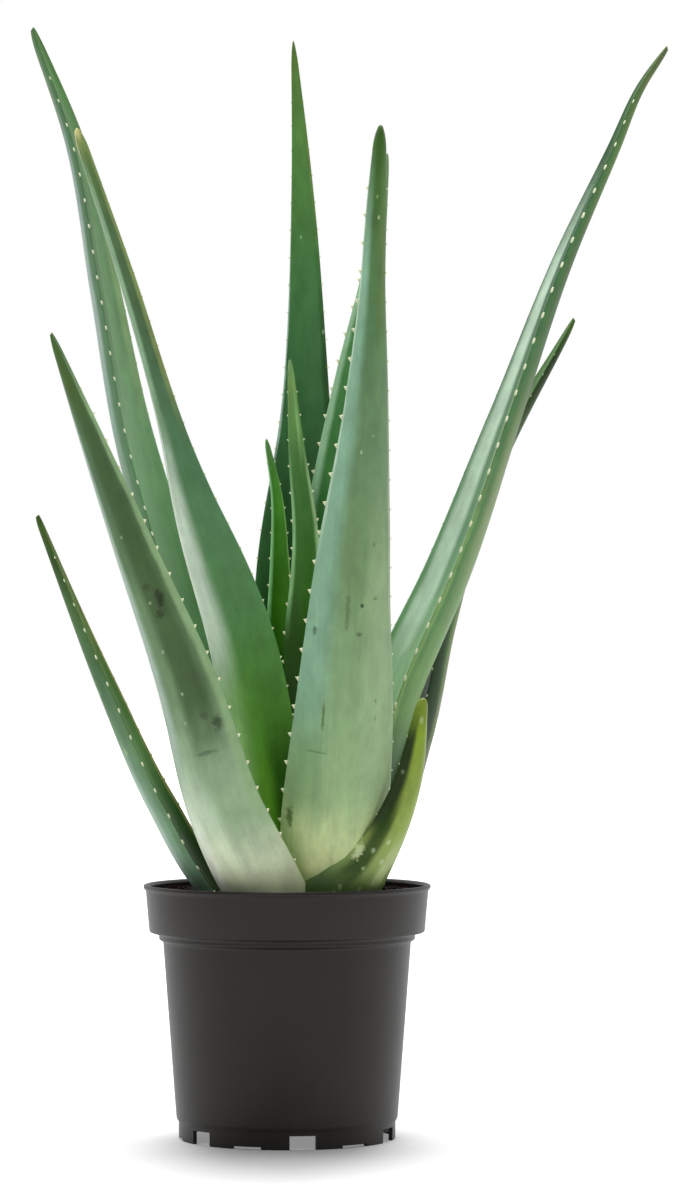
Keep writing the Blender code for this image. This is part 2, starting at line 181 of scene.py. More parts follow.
level = add_node(tree, "MapRange", {**SMOOTH, "From Min": -0.75, "From Max": 0.75,
                                   "To Min": 0.08, "To Max": 0.95},
                 {"Value": parts.outputs["Y"]})
sky = add_node(tree, "MapRange", {**SMOOTH, "From Min": 0.2, "From Max": 0.9, "To Max": 0.5},
               {"Value": parts.outputs["Z"]})
both = add_node(tree, "Math", {"operation": "MAXIMUM"},
                {0: level.outputs[0], 1: sky.outputs[0]})
seen = add_node(tree, "LightPath")
shown = add_node(tree, "Math", {"operation": "MAXIMUM"},
                 {0: both.outputs[0], 1: seen.outputs["Is Camera Ray"]})
set_node(tree.nodes["Background"], {"Color": linear("#ffffff")}, {"Strength": shown.outputs[0]})


def add_softbox(name, place, size, watts):
    """A square softbox that faces the middle of the plant."""
    light = bpy.data.objects.new(name, bpy.data.lights.new(name, "AREA"))
    light.data.size = size
    light.data.energy = watts
    light.location = pot_axis + Vector(place)
    aim = pot_axis + Vector((0, 0, 0.25)) - light.location
    light.rotation_euler = aim.to_track_quat("-Z", "Y").to_euler()
    bpy.context.scene.collection.objects.link(light)


add_softbox("softbox_front", (-0.7, -1.5, 1.6), 1.0, 9.0)
add_softbox("softbox_right", (1.6, -1.0, 1.0), 1.0, 3.0)
add_softbox("softbox_top", (0.0, 0.5, 2.0), 1.2, 36.0)
bpy.context.scene.view_settings.view_transform = "Standard"


# --- Pot ---
# A round 13 cm nursery pot, moulded in one shot of black polypropylene. A thin lip runs round
# the mouth, the wide band under it lets pots stack, and the foot ring is notched to drain.

POT_SIDES = 144
NOTCHES = 6
NOTCH_TURN = 9.0  # degrees from the front to the first notch
NOTCH_ANGLE = 14.0
NOTCH_HEIGHT = 6.2
PAD_ANGLE = 15.0  # of the low pad on each side of a notch
PAD_STEP = 1.2
FOOT_RADII = (43.0, 51.0)  # what a punch cuts through
UNDER_FOOT = -1.0
DRAIN_RADIUS = 4.5
DRAIN_DEPTH = 6.0
DRAIN_PLACE = (36.0, 9.4)  # radius and height
STAINED_ZONE = (95.0, 114.0)  # heights that the peat has splashed
CREASE_ANGLE = 40.0  # edges that turn more than this stay crisp

# radius and height, in mm, up the inside and up the outside
pot_inside = [(48.0, 10.2), (48.6, 10.5), (48.8, 11.2), (55.1, 92.4), (55.6, 93.6),
              (60.4, 95.4), (61.1, 96.2), (62.7, 113.6), (63.2, 114.5), (63.9, 114.95)]
pot_outside = [(47.3, 8.6), (47.3, 0.3), (47.6, 0.0), (48.8, 0.0), (49.1, 0.3), (49.2, 7.8),
               (49.5, 8.4), (50.0, 9.0), (50.2, 9.8), (50.3, 10.8), (56.2, 87.9),
               (56.3, 88.9), (56.8, 89.5), (57.4, 89.7), (58.0, 90.1), (58.2, 90.7),
               (58.1, 91.4), (58.2, 92.2), (58.8, 92.9), (61.6, 93.3), (62.3, 93.6),
               (62.6, 94.3), (64.1, 111.4),
               (64.3, 112.5), (64.9, 113.0), (65.2, 113.5), (65.2, 114.3), (64.9, 114.8),
               (64.4, 115.0)]


def turned(profile, sides, bm=None):
    """A closed solid turned from (radius, height) points in mm that start and end on the axis."""
    bm = bm or bmesh.new()
    rings = []
    for radius, z in profile:
        if radius == 0:
            rings.append([bm.verts.new((0, 0, z * MM))] * sides)
            continue
        turns = [2 * math.pi * i / sides for i in range(sides)]
        rings.append([bm.verts.new((radius * MM * math.sin(a), -radius * MM * math.cos(a),
                                    z * MM)) for a in turns])
    for ring, after in zip(rings, rings[1:]):
        for i in range(sides):
            j = (i + 1) % sides
            bm.faces.new(list(dict.fromkeys((ring[i], ring[j], after[j], after[i]))))
    bmesh.ops.recalc_face_normals(bm, faces=bm.faces)
    return bm


def sector(bm, radii, degrees, heights, steps=6):
    """A closed block between two radii, two directions and two heights, all in mm."""
    rows = []
    for i in range(steps + 1):
        a = math.radians(degrees[0] + (degrees[1] - degrees[0]) * i / steps)
        corners = ((radii[0], heights[0]), (radii[1], heights[0]),
                   (radii[1], heights[1]), (radii[0], heights[1]))
        rows.append([bm.verts.new((r * MM * math.sin(a), -r * MM * math.cos(a), z * MM))
                     for r, z in corners])
    for row, after in zip(rows, rows[1:]):
        for i in range(4):
            j = (i + 1) % 4
            bm.faces.new((row[i], row[j], after[j], after[i]))
    bm.faces.new(rows[0][::-1])
    bm.faces.new(rows[-1])


polypropylene, tree, shader = new_material("moulded_black_polypropylene")
# Carbon-black polypropylene straight from the mould: near-black, faintly warm, with the soft
# sheen of a finely spark-eroded tool and a little pale dust.
place = add_node(tree, "TexCoord")
here = {"Vector": place.outputs["Object"]}
mottle = add_node(tree, "TexNoise", {"Scale": 28.0, "Detail": 4.0, "Roughness": 0.6}, here)
dust = add_node(tree, "TexNoise", {"Scale": 9.0, "Detail": 6.0, "Roughness": 0.7}, here)
plastic = add_node(tree, "ValToRGB", links={"Fac": mottle.outputs["Fac"]},
                   stops=[(0.3, "#181410"), (0.75, "#1e1a17")])
dusty = add_node(tree, "MapRange", {"From Min": 0.55, "From Max": 0.8, "To Max": 0.06},
                 {"Value": dust.outputs["Fac"]})
skin = add_node(tree, "Mix", {"data_type": "RGBA", 7: linear("#6a6259")},
                {0: dusty.outputs[0], 6: plastic.outputs["Color"]})
sheen = add_node(tree, "MapRange", {"To Min": 0.36, "To Max": 0.5},
                 {"Value": dust.outputs["Fac"]})
# the spark-eroded grain is about 0.4 mm
spark = add_node(tree, "TexNoise", {"Scale": 2500.0, "Detail": 1.0}, here)
grain = add_node(tree, "Bump", {"Strength": 0.12, "Distance": 0.0002},
                 {"Height": spark.outputs["Fac"]})
set_node(shader, {"IOR": 1.49, "Specular IOR Level": 0.34},
         {"Base Color": skin.outputs[2], "Roughness": sheen.outputs[0],
          "Normal": grain.outputs["Normal"]})

soiled_wall, tree, shader = new_material("soil_stained_polypropylene")
# The same plastic inside the mouth, matt and brown with dried splashes of peat.
place = add_node(tree, "TexCoord")
splash = add_node(tree, "TexNoise", {"Scale": 260.0, "Detail": 5.0, "Roughness": 0.7},
                  {"Vector": place.outputs["Object"]})
tone = add_node(tree, "ValToRGB", links={"Fac": splash.outputs["Fac"]},
                stops=[(0.4, "#0c0403"), (0.7, "#190b07")])
set_node(shader, {"Roughness": 0.95, "Specular IOR Level": 0.1},
         {"Base Color": tone.outputs["Color"]})

pot_profile = [(0, 8.6)] + pot_outside + pot_inside[::-1] + [(0, 10.2)]
pot = add_object("nursery_pot", turned(pot_profile, POT_SIDES), polypropylene, soiled_wall)
for face in pot.data.polygons:
    inwards = face.center.x * face.normal.x + face.center.y * face.normal.y < 0
    stained = STAINED_ZONE[0] < face.center.z / MM < STAINED_ZONE[1]
    face.material_index = int(inwards and stained)
punch_mesh = bmesh.new()
for n in range(NOTCHES):
    middle = NOTCH_TURN + 360 / NOTCHES * n
    low, high = middle - NOTCH_ANGLE / 2, middle + NOTCH_ANGLE / 2
    sector(punch_mesh, FOOT_RADII, (low, high), (UNDER_FOOT, NOTCH_HEIGHT))
    sector(punch_mesh, FOOT_RADII, (high + PAD_ANGLE, low + 360 / NOTCHES - PAD_ANGLE),
           (UNDER_FOOT, PAD_STEP))
    a = math.radians(middle)
    place = Vector((DRAIN_PLACE[0] * math.sin(a), -DRAIN_PLACE[0] * math.cos(a), DRAIN_PLACE[1]))
    bmesh.ops.create_cone(punch_mesh, cap_ends=True, segments=32, radius1=DRAIN_RADIUS * MM,
                          radius2=DRAIN_RADIUS * MM, depth=DRAIN_DEPTH * MM,
                          matrix=Matrix.Translation(place * MM))
bmesh.ops.recalc_face_normals(punch_mesh, faces=punch_mesh.faces)
punch = add_object("punch", punch_mesh)
drain = pot.modifiers.new("drain", "BOOLEAN")
drain.object = punch
drain.solver = "EXACT"
drain.operation = "DIFFERENCE"
depsgraph = bpy.context.evaluated_depsgraph_get()
pot.data = bpy.data.meshes.new_from_object(pot.evaluated_get(depsgraph))
pot.modifiers.clear()
bpy.data.objects.remove(punch)
pot.data.set_sharp_from_angle(angle=math.radians(CREASE_ANGLE))
pot.location = pot_axis
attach(pot, "root")
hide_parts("pot")


# --- Potting mix ---
# Dark, damp peat-based mix, poured loose and pressed round the stem, with crumbs of peat and
# bark and a few white grains of perlite on top. It fills the pot nearly to the lip.

SOIL_TOP_MM = 112.6
SOIL_RADIUS_MM = 62.1
SOIL_RINGS = 26
SOIL_SIDES = 128
STEM_HOLE_MM = 12.3
STEM_FOOT_MM = 83.7
CRUMBS = 900
CRUMB_MM = (0.35, 1.1)
LUMP_MM = (1.1, 1.9)  # one crumb in ten is a lump
LUMP_SHARE = 0.1
CRUMB_SQUASH = 0.6
PERLITE_GRAINS = 16
PERLITE_MM = (0.5, 1.0)
PERLITE_SQUASH = 0.8
RAGGEDNESS = 0.16  # how far a corner is moved, as a share of the crumb
rng = np.random.default_rng(7)

peat, tree, shader = new_material("damp_peat_mix")
# Wet fibres of peat: very dark red-brown that hardly reflects, with paler dry crumbs.
place = add_node(tree, "TexCoord")
here = {"Vector": place.outputs["Object"]}
crumbs = add_node(tree, "TexVoronoi", {"Scale": 420.0, "Randomness": 1.0}, here)
damp = add_node(tree, "TexNoise", {"Scale": 120.0, "Detail": 5.0, "Roughness": 0.65}, here)
tone = add_node(tree, "ValToRGB", links={"Fac": damp.outputs["Fac"]},
                stops=[(0.32, "#0d0706"), (0.75, "#24130e")])
grainy = add_node(tree, "Mix", {"data_type": "RGBA", "blend_type": "MULTIPLY", 0: 0.6},
                  {6: tone.outputs["Color"], 7: crumbs.outputs["Color"]})
rough = add_node(tree, "Bump", {"Strength": 0.8, "Distance": 0.0012},
                 {"Height": crumbs.outputs["Distance"]})
set_node(shader, {"Roughness": 0.95, "Specular IOR Level": 0.08},
         {"Base Color": grainy.outputs[2], "Normal": rough.outputs["Normal"]})

perlite, tree, shader = new_material("expanded_perlite")
# Puffed volcanic glass: matt, off-white, stained by the peat round it.
stain = add_node(tree, "TexNoise", {"Scale": 700.0, "Detail": 3.0})
tone = add_node(tree, "ValToRGB", links={"Fac": stain.outputs["Fac"]},
                stops=[(0.0, "#8c7f70"), (1.0, "#d6d0c4")])
set_node(shader, {"Roughness": 0.95}, {"Base Color": tone.outputs["Color"]})


def soil_height(x, y):
    """Height of the mix's surface, in mm: soft heaps with a coarse and a fine grain."""
    wide = 0.35 * math.sin(0.21 * x + 1.0) * math.cos(0.17 * y)
    fine = 0.3 * math.sin(1.1 * x + 0.7 * y) * math.sin(0.9 * y - 0.4 * x)
    return SOIL_TOP_MM - 0.6 + wide + fine


def add_crumb(bm, place, size, squash, slot):
    """A faceted crumb, turned and squashed at random."""
    turn = Matrix.Rotation(rng.uniform(0, 6.28), 4, Vector(rng.normal(size=3)))
    shape = Matrix.Diagonal((size, size * rng.uniform(0.6, 0.9), size * squash, 1))
    made = bmesh.ops.create_icosphere(bm, subdivisions=1, radius=1.0,
                                      matrix=Matrix.Translation(place) @ turn @ shape)
    for vert in made["verts"]:
        vert.co += Vector(rng.normal(size=3)) * size * RAGGEDNESS
        for face in vert.link_faces:
            face.material_index = slot


soil_mesh = bmesh.new()
# radius and height, in mm, up the side that lies against the pot
low_profile = [(0, 10.5), (47.2, 10.5), (48.4, 12.1), (54.7, 92.6), (60.7, 96.4),
               (SOIL_RADIUS_MM, 111.7)]
rings = [SOIL_RADIUS_MM - (SOIL_RADIUS_MM - STEM_HOLE_MM) * i / SOIL_RINGS
         for i in range(SOIL_RINGS + 1)]
turned(low_profile + [(r, SOIL_TOP_MM) for r in rings]
       + [(STEM_HOLE_MM, STEM_FOOT_MM), (0, STEM_FOOT_MM)], SOIL_SIDES, soil_mesh)
for vert in soil_mesh.verts:
    if abs(vert.co.z - SOIL_TOP_MM * MM) < 1e-6:
        vert.co.z = soil_height(vert.co.x / MM, vert.co.y / MM) * MM
for _ in range(CRUMBS):
    r = math.sqrt(rng.uniform(0.05, 1.0)) * (SOIL_RADIUS_MM - 1.2)
    a = rng.uniform(0, 2 * math.pi)
    x, y = r * math.sin(a), r * math.cos(a)
    size = rng.uniform(*(CRUMB_MM if rng.random() < 1 - LUMP_SHARE else LUMP_MM))
    if r > STEM_HOLE_MM + 2:
        add_crumb(soil_mesh, Vector((x, y, soil_height(x, y))) * MM, size * MM,
                  CRUMB_SQUASH, 0)
for _ in range(PERLITE_GRAINS):
    r = math.sqrt(rng.uniform(0.1, 0.95)) * (SOIL_RADIUS_MM - 3)
    a = rng.uniform(0, 2 * math.pi)
    x, y = r * math.sin(a), r * math.cos(a)
    add_crumb(soil_mesh, Vector((x, y, soil_height(x, y) + 0.1)) * MM,
              rng.uniform(*PERLITE_MM) * MM, PERLITE_SQUASH, 1)
bmesh.ops.recalc_face_normals(soil_mesh, faces=soil_mesh.faces)
soil = add_object("potting_mix_surface", soil_mesh, peat, perlite)
soil.location = pot_axis
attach(soil, "root")
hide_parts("soil")


# --- Stem ---
# A short fleshy stem that the leaves clasp in a spiral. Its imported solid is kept, with the
# dull green skin and the papery brown rings that old leaves leave behind.

stem_skin, tree, shader = new_material("ringed_stem_skin")
# Dry, papery leaf bases over green flesh: dull, in uneven brown and green rings.
place = add_node(tree, "TexCoord")
ring = add_node(tree, "TexWave", {"bands_direction": "Z", "Scale": 60.0, "Distortion": 2.0,
                                 "Detail": 3.0}, {"Vector": place.outputs["Object"]})
tone = add_node(tree, "ValToRGB", links={"Fac": ring.outputs["Fac"]},
                stops=[(0.0, "#6f6a3f"), (1.0, "#8fa05c")])
fold = add_node(tree, "Bump", {"Strength": 0.5, "Distance": 0.0008},
                {"Height": ring.outputs["Fac"]})
set_node(shader, {"Roughness": 0.7},
         {"Base Color": tone.outputs["Color"], "Normal": fold.outputs["Normal"]})
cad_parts["stem"].data.materials.clear()
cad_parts["stem"].data.materials.append(stem_skin)


# --- Leaves: how each one is grown ---
# A leaf is a thick, water-filled blade with a smooth waxy skin. It clasps the stem, opens to
# a shallow channel, and tapers to a point, with horny teeth along both margins.

MARGIN = 1.1 * MM  # thickness at the edge
RIM_START = 0.9  # where the edge starts to round over
CLASP = 0.5  # cup of a leaf's foot, which wraps the stem
CLASP_END = 0.18
BELLY_POWER = 2.3  # how full the outer face is
TAPER_POWER = 0.75  # how the thickness follows the width
TIP_START = 0.97  # where the point rounds off
TANGENT_STEP = 0.01
TOOTH_STEP = 13.0 * MM
TOOTH_START = 0.14
TOOTH_END = 0.95
TOOTH_ROOT = 3.2 * MM
TOOTH_HEIGHT = 1.8 * MM
TOOTH_THICKNESS = 1.0 * MM
TOOTH_SIDES = 8
# height up a tooth, its width there and its lean to the tip, as shares of the whole
TOOTH_RINGS = ((-0.35, 1.0, 0.0), (0.15, 0.8, 0.05), (0.5, 0.45, 0.22), (0.8, 0.2, 0.42))
TOOTH_LEAN = 0.6
TOOTH_LIFT = 0.25  # towards the upper face
LEAST_TOOTH = 0.35
FULL_TOOTH_WIDTH = 18.0 * MM  # a leaf this wide bears full teeth
STATIONS_PER_LEAF = 110
STATION_POWER = 0.92  # under 1, the stations crowd a little towards the tip
LAST_STATION = 0.997
PATTERN_SHIFT_MM = 100.0  # from one leaf's grain to the next one's
BAND_FADE_IN = 0.06
BAND_FADE_OUT = 0.08
BAND_CORE = 0.35  # share of a band's half-width that has its full colour
MARK_EDGE = 1.25
MARK_CORE = 0.4


def through(stations, values, t):
    """A smooth curve through values that are given at stations, read at t."""
    stations, values = np.asarray(stations, float), np.asarray(values, float)
    slopes = np.gradient(values, stations, axis=0)
    i = int(np.clip(np.searchsorted(stations, t) - 1, 0, len(stations) - 2))
    step = stations[i + 1] - stations[i]
    u = (t - stations[i]) / step
    return ((2 * u**3 - 3 * u**2 + 1) * values[i] + (u**3 - 2 * u**2 + u) * step * slopes[i]
            + (3 * u**2 - 2 * u**3) * values[i + 1] + (u**3 - u**2) * step * slopes[i + 1])


class Blade:
    """The form of one leaf, read at t from 0 at the stem to 1 at the tip."""

    def __init__(self, route, widths, thick, cup, facing, twist=0):
        self.route = np.array(route) * MM
        steps = np.linalg.norm(np.diff(self.route, axis=0), axis=1)
        self.length = steps.sum()
        self.stations = np.r_[0, np.cumsum(steps)] / self.length
        self.widths = np.array(widths) * MM
        self.thick = thick * MM
        self.cup = cup
        self.facing = facing
        self.twist = twist

    def centre(self, t):
        return Vector(through(self.stations, self.route, t))

    def width(self, t):
        blunt = math.sqrt(1 - max(0.0, (t - TIP_START) / (1 - TIP_START)) ** 2)
        return blunt * float(through(np.linspace(0, 1, len(self.widths)), self.widths, t))

    def along(self, t):
        """The unit vector from stem to tip."""
        ahead, behind = min(t + TANGENT_STEP, 1), max(t - TANGENT_STEP, 0)
        return (self.centre(ahead) - self.centre(behind)).normalized()

    def frame(self, t):
        """Unit vectors across the blade and out of its upper face."""
        along = self.along(t)
        a = math.radians(self.facing + self.twist * t)
        inward = Vector((-math.sin(a), math.cos(a), 0))
        up = (inward - along * inward.dot(along)).normalized()
        return up.cross(along), up

    def ring(self, t, spots):
        """Points round the blade at t, at (across, face) spots."""
        centre, (side, up), half = self.centre(t), self.frame(t), self.width(t) / 2
        share = 2 * half / self.widths.max()
        thick = MARGIN + (self.thick - MARGIN) * share ** TAPER_POWER
        clasp = max(0.0, 1 - t / CLASP_END) ** 2
        cup = self.cup + (CLASP - self.cup) * clasp
        places = []
        for across, face in spots:
            height = cup * half * across**2
            rim = max(0.0, (abs(across) - RIM_START) / (1 - RIM_START)) ** 2
            if face < 0:
                belly = (thick - MARGIN) * (1 - abs(across) ** BELLY_POWER)
                height -= MARGIN * (1 - 0.5 * rim) + belly
            else:
                height -= MARGIN * 0.5 * rim
            places.append(centre + side * across * half + up * height)
        return places


def margin_teeth(blade):
    """Where each tooth stands on a margin: its middle as t, and its size."""
    at = TOOTH_START * blade.length
    found = []
    while at < TOOTH_END * blade.length:
        t = at / blade.length
        size = min(1.0, LEAST_TOOTH + blade.width(t) / FULL_TOOTH_WIDTH)
        found.append((t, size))
        at += TOOTH_STEP * (1 + size) / 2
    return found


def leaf_skin(name, colours, bands=(), marks=(), flecks=0.0, blade=None):
    """Waxy cuticle over green flesh: satin, with a pale bloom and faint lengthwise streaks.

    colours are (t, colour) down the middle of the face; on several leaves they also carry
    painted light and painted shade. bands are soft stripes as (across, half-width, colour,
    strength, from t, to t); many of them are painted highlights, painted reflections and
    painted shade. marks are single scars and pale spots, and now and then a patch of painted
    shade, as (t, across, width mm, length mm, colour, strength). flecks is the strength of the
    small pale spots that young leaves keep. blade is the leaf's form, which places its marks.
    """
    material, tree, shader = new_material(name)
    share = add_node(tree, "Attribute", {"attribute_name": "leaf_share"})
    measure = add_node(tree, "Attribute", {"attribute_name": "leaf_mm"})
    here = {"Vector": measure.outputs["Vector"]}  # across and along the leaf, in mm
    # cloudy changes along and across the blade are 10 to 40 mm long
    cloud = add_node(tree, "Mapping", {"Scale": (0.09, 0.03, 1.0)}, here)
    cloudy = add_node(tree, "TexNoise", {"Scale": 1.0, "Detail": 4.0, "Roughness": 0.6},
                      {"Vector": cloud.outputs[0]})
    shift = add_node(tree, "VectorMath", {"operation": "SUBTRACT", 1: (0.5, 0.5, 0.5)},
                     {0: cloudy.outputs["Color"]})
    drift = add_node(tree, "VectorMath", {"operation": "MULTIPLY", 1: (0.16, 0.08, 0.0)},
                     {0: shift.outputs[0]})
    moved = add_node(tree, "VectorMath", {"operation": "ADD"},
                     {0: share.outputs["Vector"], 1: drift.outputs[0]})
    split = add_node(tree, "SeparateXYZ", links={0: moved.outputs[0]})

    flesh = add_node(tree, "ValToRGB", links={"Fac": split.outputs["Y"]}, stops=colours)
    surface = flesh.outputs["Color"]

    for across, half, colour, strength, start, end in bands:
        apart = add_node(tree, "Math", {"operation": "SUBTRACT", 1: across},
                         {0: split.outputs["X"]})
        size = add_node(tree, "Math", {"operation": "ABSOLUTE"}, {0: apart.outputs[0]})
        amount = None
        for value, none, full, most in (
                (split.outputs["Y"], start - BAND_FADE_IN, start + BAND_FADE_IN, 1.0),
                (split.outputs["Y"], end + BAND_FADE_OUT, end - BAND_FADE_OUT, 1.0),
                (size.outputs[0], half, BAND_CORE * half, strength)):
            fade = add_node(tree, "MapRange", {**SMOOTH, "From Min": none, "From Max": full,
                                              "To Max": most}, {"Value": value})
            if amount is not None:
                fade = add_node(tree, "Math", {"operation": "MULTIPLY"},
                                {0: amount, 1: fade.outputs[0]})
            amount = fade.outputs[0]
        stripe = add_node(tree, "Mix", {"data_type": "RGBA", 7: linear(colour)},
                          {0: amount, 6: surface})
        surface = stripe.outputs[2]

    # fibres under the skin show as streaks about 1 mm wide and 40 mm long
    streak = add_node(tree, "Mapping", {"Scale": (0.9, 0.025, 1.0)}, here)
    streaky = add_node(tree, "TexNoise", {"Scale": 1.0, "Detail": 3.0, "Roughness": 0.55},
                       {"Vector": streak.outputs[0]})
    shade = add_node(tree, "MapRange", {"From Min": 0.3, "From Max": 0.7, "To Min": 0.96,
                                       "To Max": 1.04}, {"Value": streaky.outputs["Fac"]})
    fibre = add_node(tree, "Mix", {"data_type": "RGBA", "blend_type": "MULTIPLY", 0: 1.0},
                     {6: surface, 7: shade.outputs[0]})
    # rubbed and cloudy patches in the bloom, 5 to 15 mm across
    bloom = add_node(tree, "Mapping", {"Scale": (0.16, 0.07, 1.0), "Location": (31, 7, 3)}, here)
    bloomy = add_node(tree, "TexNoise", {"Scale": 1.0, "Detail": 5.0, "Roughness": 0.62},
                      {"Vector": bloom.outputs[0]})
    rubbed = add_node(tree, "MapRange", {"From Min": 0.3, "From Max": 0.72, "To Min": 0.86,
                                        "To Max": 1.16}, {"Value": bloomy.outputs["Fac"]})
    patchy = add_node(tree, "Mix", {"data_type": "RGBA", "blend_type": "MULTIPLY", 0: 1.0},
                      {6: fibre.outputs[2], 7: rubbed.outputs[0]})
    surface = patchy.outputs[2]

    if flecks:
        # each fleck is about 1 mm wide and 2 mm long, and they lie some 7 mm apart
        cells = add_node(tree, "Mapping", {"Scale": (0.15, 0.075, 1.0)}, here)
        spots = add_node(tree, "TexVoronoi", {"Scale": 1.0}, {"Vector": cells.outputs[0]})
        fleck = add_node(tree, "MapRange", {**SMOOTH, "From Min": 0.17, "From Max": 0.09,
                                           "To Max": flecks}, {"Value": spots.outputs["Distance"]})
        flecked = add_node(tree, "Mix", {"data_type": "RGBA", 7: linear("#b6c690")},
                           {0: fleck.outputs[0], 6: surface})
        surface = flecked.outputs[2]

    # scars and spots have torn edges, uneven over some 2 mm
    torn = add_node(tree, "TexNoise", {"Scale": 0.5, "Detail": 3.0, "Roughness": 0.7}, here)
    tear = add_node(tree, "VectorMath", {"operation": "SUBTRACT", 1: (0.5, 0.5, 0.5)},
                    {0: torn.outputs["Color"]})
    tears = add_node(tree, "VectorMath", {"operation": "MULTIPLY", 1: (2.2, 2.2, 0.0)},
                     {0: tear.outputs[0]})
    for t, across, wide, long, colour, strength in marks:
        at = (across * blade.width(t) / 2 / MM, t * blade.length / MM, 0)
        apart = add_node(tree, "VectorMath", {"operation": "SUBTRACT", 1: at},
                         {0: measure.outputs["Vector"]})
        scaled = add_node(tree, "VectorMath", {"operation": "MULTIPLY",
                                              1: (2 / wide, 2 / long, 0)},
                          {0: apart.outputs[0]})
        ragged = add_node(tree, "VectorMath", {"operation": "ADD"},
                          {0: scaled.outputs[0], 1: tears.outputs[0]})
        away = add_node(tree, "VectorMath", {"operation": "LENGTH"}, {0: ragged.outputs[0]})
        inside = add_node(tree, "MapRange", {**SMOOTH, "From Min": MARK_EDGE,
                                            "From Max": MARK_CORE, "To Max": strength},
                          {"Value": away.outputs["Value"]})
        marked = add_node(tree, "Mix", {"data_type": "RGBA", 7: linear(colour)},
                          {0: inside.outputs[0], 6: surface})
        surface = marked.outputs[2]

    # the cuticle is finely pebbled, and the fibres lift it into low ridges
    pebble = add_node(tree, "TexNoise", {"Scale": 1.6, "Detail": 2.0}, here)
    ridge = add_node(tree, "Bump", {"Strength": 0.1, "Distance": 0.0006},
                     {"Height": streaky.outputs["Fac"]})
    grain = add_node(tree, "Bump", {"Strength": 0.08, "Distance": 0.0002},
                     {"Height": pebble.outputs["Fac"], "Normal": ridge.outputs["Normal"]})
    gloss = add_node(tree, "MapRange", {"From Min": 0.3, "From Max": 0.7, "To Min": 0.36,
                                       "To Max": 0.52}, {"Value": bloomy.outputs["Fac"]})
    set_node(shader, {"IOR": 1.43, "Specular IOR Level": 0.32, "Subsurface Weight": 0.08,
                      "Subsurface Radius": (0.5, 1.0, 0.3), "Subsurface Scale": 0.002},
             {"Base Color": surface, "Roughness": gloss.outputs[0],
              "Normal": grain.outputs["Normal"]})
    return material


tooth_horn, tree, shader = new_material("horny_leaf_tooth")
# Hard, dry tissue like a fingernail: cream, greener at the root and browner at the point.
share = add_node(tree, "Attribute", {"attribute_name": "leaf_share"})
split = add_node(tree, "SeparateXYZ", links={0: share.outputs["Vector"]})
tone = add_node(tree, "ValToRGB", links={"Fac": split.outputs["Z"]},
                stops=[(0.0, "#b4c892"), (0.35, "#eef0cf"), (0.8, "#eee8c4"), (1.0, "#d2b684")])
set_node(shader, {"Roughness": 0.45, "IOR": 1.5}, {"Base Color": tone.outputs["Color"]})


def add_tooth(bm, share, blade, t, across, size):
    """A curved thorn on the margin, its root sunk in the leaf, leaning to the tip."""
    side, up = blade.frame(t)
    out = (side * across + up * TOOTH_LIFT).normalized()
    along = blade.along(t)
    flat = out.cross(along).normalized()
    base = blade.ring(t, [(across, 0)])[0]
    high = TOOTH_HEIGHT * size
    rings = []
    for level, slim, lean in TOOTH_RINGS:
        centre = base + out * level * high + along * lean * high
        ring = []
        for k in range(TOOTH_SIDES):
            a = 2 * math.pi * k / TOOTH_SIDES
            spot = (along * math.cos(a) * TOOTH_ROOT + flat * math.sin(a) * TOOTH_THICKNESS) / 2
            vert = bm.verts.new(centre + spot * slim * size)
            vert[share] = (across, t, max(0.0, level))
            ring.append(vert)
        rings.append(ring)
    tip = bm.verts.new(base + out * high + along * TOOTH_LEAN * high)
    tip[share] = (across, t, 1.0)
    faces = [rings[0][::-1]]
    for k in range(TOOTH_SIDES):
        j = (k + 1) % TOOTH_SIDES
        faces += [(ring[k], ring[j], after[j], after[k]) for ring, after in zip(rings, rings[1:])]
        faces.append((rings[-1][k], rings[-1][j], tip))
    for corners in faces:
        bm.faces.new(corners).material_index = 2


def grow_leaf(node, blade, upper, lower, teeth=(1.0, 1.0)):
    """Build a leaf from its blade, its two skins and the size of each margin's teeth."""
    bm = bmesh.new()
    share = bm.verts.layers.float_vector.new("leaf_share")
    measure = bm.verts.layers.float_vector.new("leaf_mm")
    spread = [-1, -0.985, -0.95, -0.88, -0.78, -0.65, -0.5, -0.33, -0.16, 0, 0.16, 0.33, 0.5,
              0.65, 0.78, 0.88, 0.95, 0.985, 1]
    spots = [(s, 1) for s in spread] + [(s, -1) for s in spread[-2:0:-1]]
    shift = PATTERN_SHIFT_MM * int(node[-2:])
    rings = []
    for i in range(STATIONS_PER_LEAF):
        t = (i / (STATIONS_PER_LEAF - 1)) ** STATION_POWER * LAST_STATION
        half = blade.width(t) / 2 / MM
        ring = []
        for (across, _), place in zip(spots, blade.ring(t, spots)):
            vert = bm.verts.new(place)
            vert[share] = (across, t, 0.0)
            vert[measure] = (across * half, t * blade.length / MM, shift)
            ring.append(vert)
        rings.append(ring)
    tip = bm.verts.new(blade.centre(1.0))
    tip[share] = (0.0, 1.0, 0.0)
    tip[measure] = (0.0, blade.length / MM, shift)
    count = len(spots)
    for ring, after in zip(rings, rings[1:]):
        for k in range(count):
            j = (k + 1) % count
            face = bm.faces.new((ring[k], after[k], after[j], ring[j]))
            face.material_index = 0 if k < len(spread) - 1 else 1
    for k in range(count):
        bm.faces.new((rings[-1][k], tip, rings[-1][(k + 1) % count])).material_index = 0
    bm.faces.new(rings[0])
    bmesh.ops.recalc_face_normals(bm, faces=bm.faces)
    for across, scale in zip((-1, 1), teeth):
        for t, size in margin_teeth(blade):
            add_tooth(bm, share, blade, t, across, size * scale)
    leaf = add_object(node + "_blade", bm, upper, lower, tooth_horn)
    leaf.location = pot_axis
    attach(leaf, "root")
    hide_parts(node)


# --- Leaf 1 ---
# The lowest leaf, at the far left. It is seen from its edge: a blue-green outer face, the
# near margin's teeth, and a strip of the channel beyond them, dark in the shade of leaf 2.

